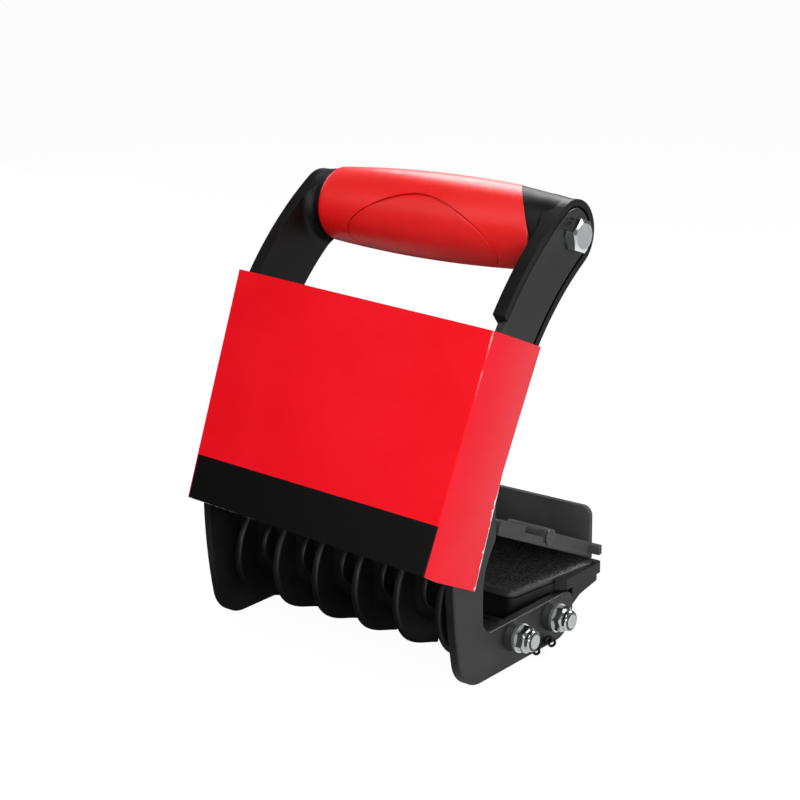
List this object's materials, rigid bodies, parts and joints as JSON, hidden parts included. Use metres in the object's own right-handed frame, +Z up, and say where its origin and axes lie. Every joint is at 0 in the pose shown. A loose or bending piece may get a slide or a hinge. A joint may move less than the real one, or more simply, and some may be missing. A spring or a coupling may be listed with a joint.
{
  "type": "panel carrier",
  "caption": "One-hand sheet and panel carrier: curved side arms, ribbed core, red bar grip, padded mouth with a swinging gravity jaw, in a blank card sleeve.",
  "frame": {"origin": "on the stand plane under the middle of the whole object", "axes": "+X across the hand to the lock-nut side, +Y to the back where the mouth opens, +Z up"},
  "size_m": [0.201, 0.1646, 0.2501],
  "materials": {
    "arm_plastic": "fine matt black moulding",
    "core_plastic": "satin black moulding",
    "bail_plastic": "satin black moulding",
    "grip_red": "satin red soft grip",
    "inlay_red": "satin red soft inlay",
    "bolt_zinc": "bright zinc",
    "insert_brass": "plain",
    "washer_zinc": "bright zinc",
    "nut_zinc": "bright zinc",
    "nylon": "plain nylon",
    "jaw_plastic": "matt black moulding",
    "jaw_rubber": "dark grey rubber",
    "pin_steel": "blackened steel",
    "carrier_plastic": "matt black moulding",
    "pad_rubber": "speckled black rubber",
    "card": "printed card, plain red with a black band"
  },
  "bodies": {
    "frame": {"side_arm_right": "arm_plastic", "side_arm_left": "arm_plastic", "ribbed_core": "core_plastic", "handle_bail": "bail_plastic", "grip_shell": "grip_red", "grip_inlay": "inlay_red", "handle_bolt_right": "bolt_zinc", "handle_bolt_left": "bolt_zinc", "handle_insert_right": "insert_brass", "handle_insert_left": "insert_brass", "leg_bolt_front": "bolt_zinc", "leg_bolt_rear": "bolt_zinc", "leg_washers": "washer_zinc", "lock_nuts": "nut_zinc", "nut_rings": "nylon", "pad_carrier": "carrier_plastic", "carrier_pad": "pad_rubber", "card_sleeve": "card"},
    "jaw": {"swing_jaw": "jaw_plastic", "jaw_pad": "jaw_rubber", "pivot_pin": "pin_steel", "pin_caps": "pin_steel"}
  },
  "joints": [
    {"name": "jaw_hinge", "type": "hinge", "parent": "frame", "child": "jaw", "pos_m": [0, 0.0387, 0.059], "axis": [1, 0, 0], "range_deg": [0, 25]}
  ]
}
